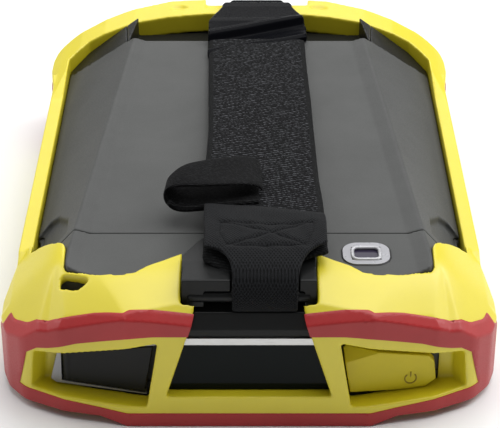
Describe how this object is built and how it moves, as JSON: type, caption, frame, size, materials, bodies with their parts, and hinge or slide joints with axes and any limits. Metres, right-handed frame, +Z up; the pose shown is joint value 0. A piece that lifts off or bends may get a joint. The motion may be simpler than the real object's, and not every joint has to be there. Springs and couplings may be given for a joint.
{
  "type": "rugged data collector",
  "caption": "Rugged handheld data collector lying on its screen: two-colour bumper, ridged back, windows and a power key at one end, and a hand strap hooked over the other.",
  "frame": {"origin": "on the surface it lies on, below the centre of the body's bounding box", "axes": "+Z up out of the device's back, +X across the device, +Y along it, from the end with the windows and the power key to the end the strap hooks over"},
  "size_m": [0.15, 0.217, 0.0564],
  "materials": {
    "yellow_rubber": "soft satin moulded rubber",
    "red_rubber": "soft satin moulded rubber",
    "yellow_key": "satin",
    "grey_casing": "fine moulded texture",
    "black_plastic": "fine moulded texture",
    "hook_plastic": "smooth satin",
    "dark_glass": "gloss",
    "clear_glass": "gloss",
    "bright_trim": "satin",
    "silver_plastic": "satin",
    "steel": "satin",
    "magnesium": "cast",
    "brass_contacts": "plated",
    "webbing": "woven",
    "elastic": "woven elastic",
    "silicone": "matte",
    "circuit_board": "satin",
    "battery_wrap": "satin",
    "ceramic": "satin"
  },
  "bodies": {
    "device": {"bumper_body": "yellow_rubber", "near_bumper_band": "red_rubber", "far_bumper_band": "red_rubber", "rear_housing": "grey_casing", "battery_door": "grey_casing", "front_housing": "grey_casing", "housing_gasket": "silicone", "battery_door_gasket": "silicone", "door_latches": "black_plastic", "camera_bezel": "silver_plastic", "camera_window": "clear_glass", "camera_module": "black_plastic", "camera_lens": "dark_glass", "nose_housing": "black_plastic", "top_window": "dark_glass", "window_trim": "bright_trim", "imager_module": "black_plastic", "port_door_trim": "silver_plastic", "port_door_pin": "steel", "usb_connector": "steel", "power_jack": "black_plastic", "port_board": "circuit_board", "power_key_seal": "silicone", "power_switch": "black_plastic", "strap_bracket": "black_plastic", "strap_bar": "black_plastic", "bracket_screws": "steel", "front_keypad": "silicone", "key_board": "circuit_board", "display_glass": "dark_glass", "lcd_panel": "dark_glass", "chassis": "magnesium", "main_board": "circuit_board", "board_screws": "steel", "cpu_shield": "steel", "heat_spreader": "magnesium", "radio_shield": "steel", "backup_cell": "steel", "gnss_antenna": "ceramic", "battery_pack": "battery_wrap", "battery_contacts": "brass_contacts", "speaker": "black_plastic", "microphone": "black_plastic", "housing_screws": "steel"},
    "port_door_body": {"port_door": "black_plastic"},
    "power_key_body": {"power_key": "yellow_key"},
    "strap_body": {"strap_tab": "webbing", "hand_strap": "elastic", "strap_side_loop": "webbing", "strap_hook": "hook_plastic"},
    "front_key_1_body": {"front_key_1": "silicone"},
    "front_key_2_body": {"front_key_2": "silicone"},
    "front_key_3_body": {"front_key_3": "silicone"},
    "front_key_4_body": {"front_key_4": "silicone"}
  },
  "joints": [
    {"name": "port_door_hinge", "type": "hinge", "parent": "device", "child": "port_door_body", "pos_m": [-0.054, -0.09745, 0.0144], "axis": [0, 0, -1], "range_deg": [0, 100]},
    {"name": "power_key_press", "type": "slide", "parent": "device", "child": "power_key_body", "axis": [0, 1, 0], "range_m": [0, 0.0009], "stiffness_N_per_m": 600},
    {"name": "strap_swing", "type": "hinge", "parent": "device", "child": "strap_body", "pos_m": [0.0046, -0.1001, 0.0402], "axis": [1, 0, 0], "range_deg": [0, 100]},
    {"name": "front_key_1_press", "type": "slide", "parent": "device", "child": "front_key_1_body", "axis": [0, 0, 1], "range_m": [0, 0.0006], "stiffness_N_per_m": 400},
    {"name": "front_key_2_press", "type": "slide", "parent": "device", "child": "front_key_2_body", "axis": [0, 0, 1], "range_m": [0, 0.0006], "stiffness_N_per_m": 400},
    {"name": "front_key_3_press", "type": "slide", "parent": "device", "child": "front_key_3_body", "axis": [0, 0, 1], "range_m": [0, 0.0006], "stiffness_N_per_m": 400},
    {"name": "front_key_4_press", "type": "slide", "parent": "device", "child": "front_key_4_body", "axis": [0, 0, 1], "range_m": [0, 0.0006], "stiffness_N_per_m": 400}
  ]
}
